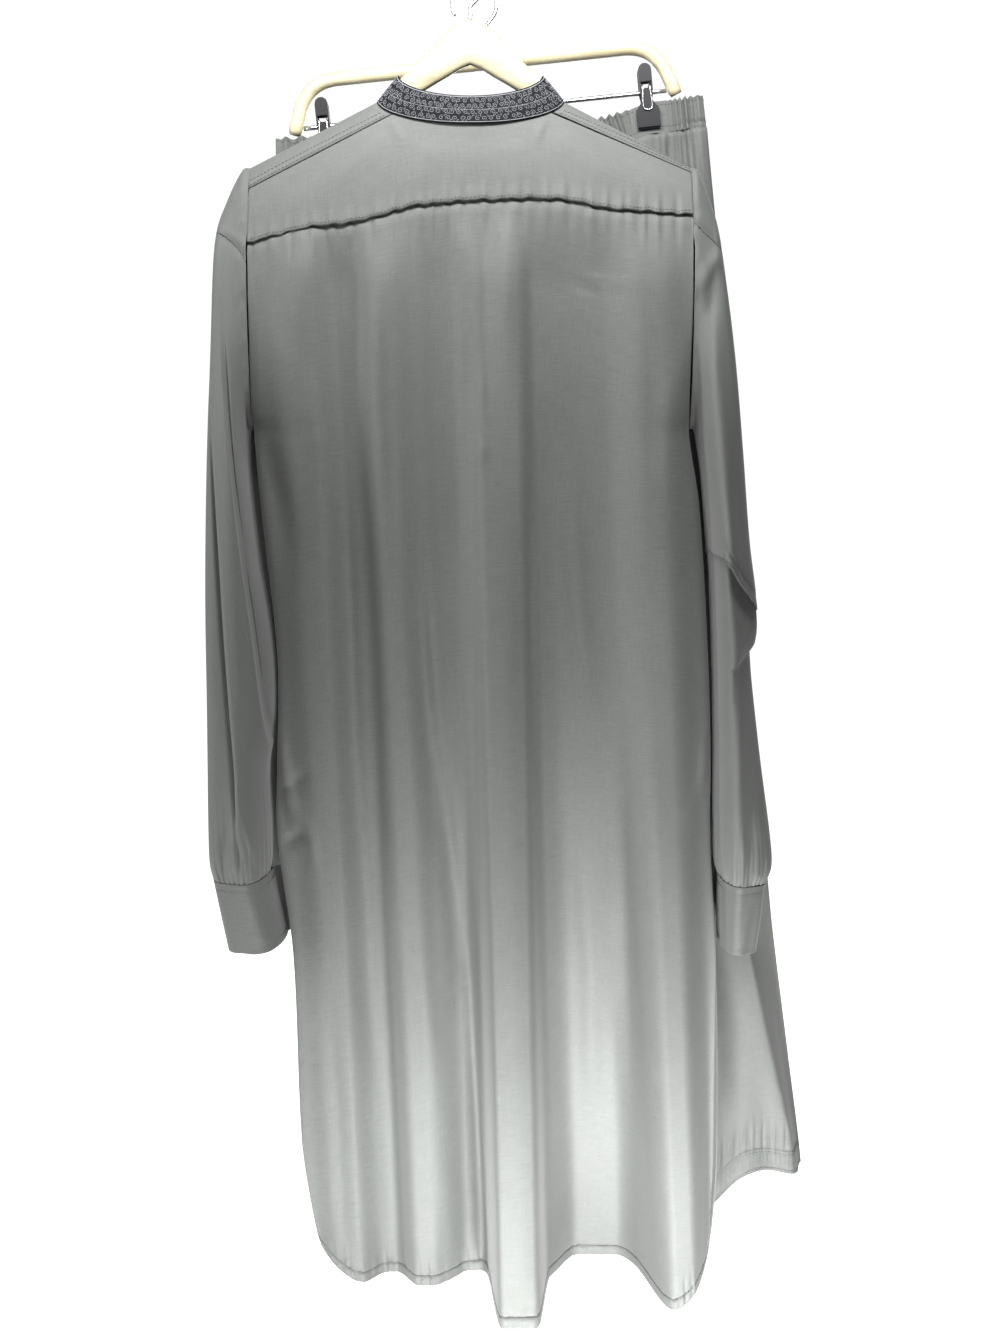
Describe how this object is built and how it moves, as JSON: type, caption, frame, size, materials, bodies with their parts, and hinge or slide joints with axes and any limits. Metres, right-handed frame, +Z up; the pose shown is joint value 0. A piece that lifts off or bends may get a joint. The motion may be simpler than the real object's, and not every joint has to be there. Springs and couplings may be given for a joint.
{
  "type": "shalwar kameez with its hangers",
  "caption": "Shalwar kameez seen from behind: long shirt with dark embroidered band collar on a wooden coat hanger, gathered trousers behind it on a clip hanger.",
  "frame": {"origin": "top of the rail, where it carries the coat hanger's hook", "axes": "+Z up, +X across the shoulders to the right as seen from behind, the back of the kameez faces -Y; the rail runs along Y"},
  "size_m": [0.5557, 0.2084, 1.1813],
  "materials": {
    "cloth": "matt woven, light weight",
    "collar_cloth": "matt, near black, with light scroll embroidery",
    "pale_wood": "satin varnish",
    "yellow_wood": "satin varnish",
    "steel": "bright plated wire",
    "black_plastic": "satin, moulded",
    "pad_rubber": "matt",
    "button": "polished"
  },
  "bodies": {
    "root": {"kameez_back": "cloth", "kameez_yoke": "cloth", "kameez_front": "cloth", "kameez_placket": "cloth", "kameez_collar": "collar_cloth", "kameez_sleeve_left": "cloth", "kameez_sleeve_right": "cloth", "kameez_cuff_left": "cloth", "kameez_cuff_right": "cloth", "placket_button_1": "button", "placket_button_2": "button", "placket_button_3": "button", "shalwar_waistband": "cloth", "shalwar_leg_left": "cloth", "shalwar_leg_right": "cloth", "coat_hanger_body": "pale_wood", "coat_hanger_hook": "steel", "clip_hanger_frame": "yellow_wood", "clip_hanger_hook": "steel", "clip_hanger_bar": "steel", "clip_left_jaw_back": "black_plastic", "clip_left_jaw_front": "black_plastic", "clip_left_pad_back": "pad_rubber", "clip_left_pad_front": "pad_rubber", "clip_left_spring": "steel", "clip_right_jaw_back": "black_plastic", "clip_right_jaw_front": "black_plastic", "clip_right_pad_back": "pad_rubber", "clip_right_pad_front": "pad_rubber", "clip_right_spring": "steel"}
  },
  "joints": []
}
